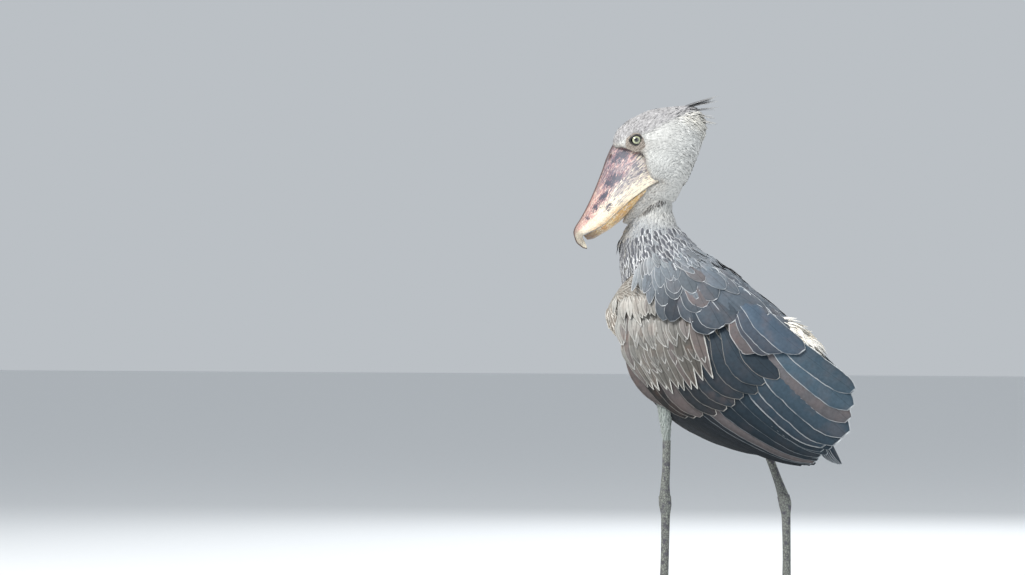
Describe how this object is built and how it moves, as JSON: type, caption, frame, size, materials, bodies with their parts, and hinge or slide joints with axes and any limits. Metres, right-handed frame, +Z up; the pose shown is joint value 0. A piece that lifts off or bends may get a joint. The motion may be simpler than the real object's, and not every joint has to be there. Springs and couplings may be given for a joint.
{
  "type": "shoebill",
  "caption": "Life-size still model of a standing shoebill, head turned to its left, heavy hooked bill lowered, wings folded, one leg trailing.",
  "frame": {"origin": "centre of the model's box on the floor that the soles stand on", "axes": "+Z up, the bird's body faces -Y, its left side is +X"},
  "size_m": [0.2389, 0.6368, 1.0942],
  "materials": {
    "head_feathers": "soft short feathers",
    "neck_feathers": "short pointed feathers with pale edges",
    "body_feathers": "soft body feathers",
    "wing_feathers": "slate vanes with thin pale fringes",
    "tail_feathers": "dark slate vanes",
    "rump_down": "long soft whitish feathers",
    "crest_feathers": "narrow stiff feathers",
    "thigh_feathers": "short close feathers",
    "bill_horn": "pale horn with dark blotches, satin",
    "lower_bill_horn": "yellow horn, browner to the tip, satin",
    "eye_ball": "wet clear gloss over a pale iris",
    "leg_scales": "small dry scales",
    "claw_horn": "dark worn horn"
  },
  "bodies": {
    "root": {"head": "head_feathers", "neck": "neck_feathers", "torso": "body_feathers", "crest": "crest_feathers", "upper_bill": "bill_horn", "lower_bill": "lower_bill_horn", "eye_left": "eye_ball", "eye_right": "eye_ball", "wing_left": "wing_feathers", "wing_right": "wing_feathers", "tail": "tail_feathers", "rump": "rump_down", "thigh_left": "thigh_feathers", "thigh_right": "thigh_feathers", "tibia_left": "leg_scales", "tibia_right": "leg_scales", "tarsus_left": "leg_scales", "tarsus_right": "leg_scales", "foot_left": "leg_scales", "foot_right": "leg_scales", "claw_left_middle": "claw_horn", "claw_left_inner": "claw_horn", "claw_left_outer": "claw_horn", "claw_left_hind": "claw_horn", "claw_right_middle": "claw_horn", "claw_right_inner": "claw_horn", "claw_right_outer": "claw_horn", "claw_right_hind": "claw_horn"}
  },
  "joints": []
}
